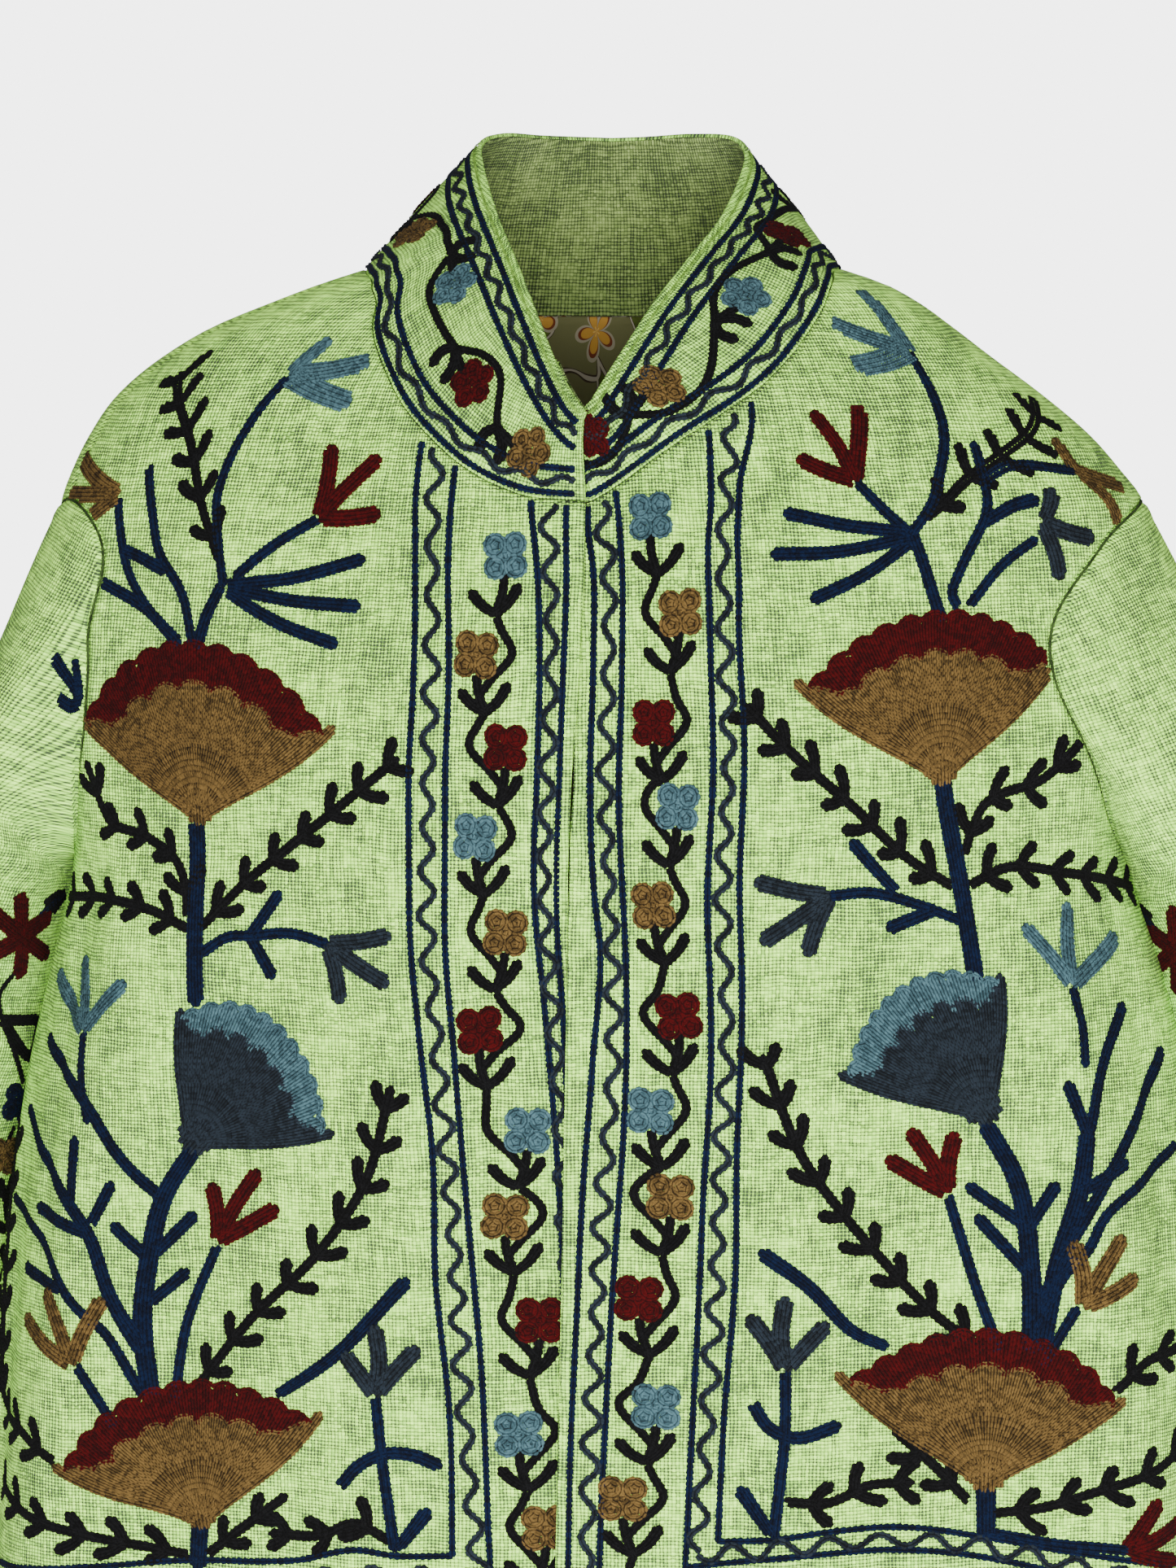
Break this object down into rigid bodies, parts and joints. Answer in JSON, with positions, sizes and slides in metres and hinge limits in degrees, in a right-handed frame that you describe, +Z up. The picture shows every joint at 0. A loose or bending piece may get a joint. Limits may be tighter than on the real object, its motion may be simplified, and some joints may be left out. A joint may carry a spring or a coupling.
{
  "type": "embroidered jacket",
  "caption": "Hip-length open-front jacket of pale green slub cotton with a stand collar, dropped straight sleeves and dense wool chain-stitch flowers, fans and vines.",
  "frame": {"origin": "middle of the neck opening at the height of the side of the neck, where the wearer's neck and shoulders hold the jacket", "axes": "+X is the wearer's left, -Y is the front, +Z is up"},
  "size_m": [0.8668, 0.2378, 0.7764],
  "materials": {
    "lime_slub_cotton": "matt hand-loomed plain weave with slubs",
    "doubled_slub_cotton": "the same cotton, doubled and topstitched",
    "printed_lining": "smooth printed cotton lawn",
    "wool_yarn": "matt crewel wool in navy, black, red, tan, slate and light blue",
    "sewing_thread": "matt spun thread"
  },
  "bodies": {
    "root": {"back": "lime_slub_cotton", "right_front": "lime_slub_cotton", "left_front": "lime_slub_cotton", "right_sleeve": "lime_slub_cotton", "left_sleeve": "lime_slub_cotton", "collar": "doubled_slub_cotton", "back_lining": "printed_lining"}
  },
  "joints": []
}
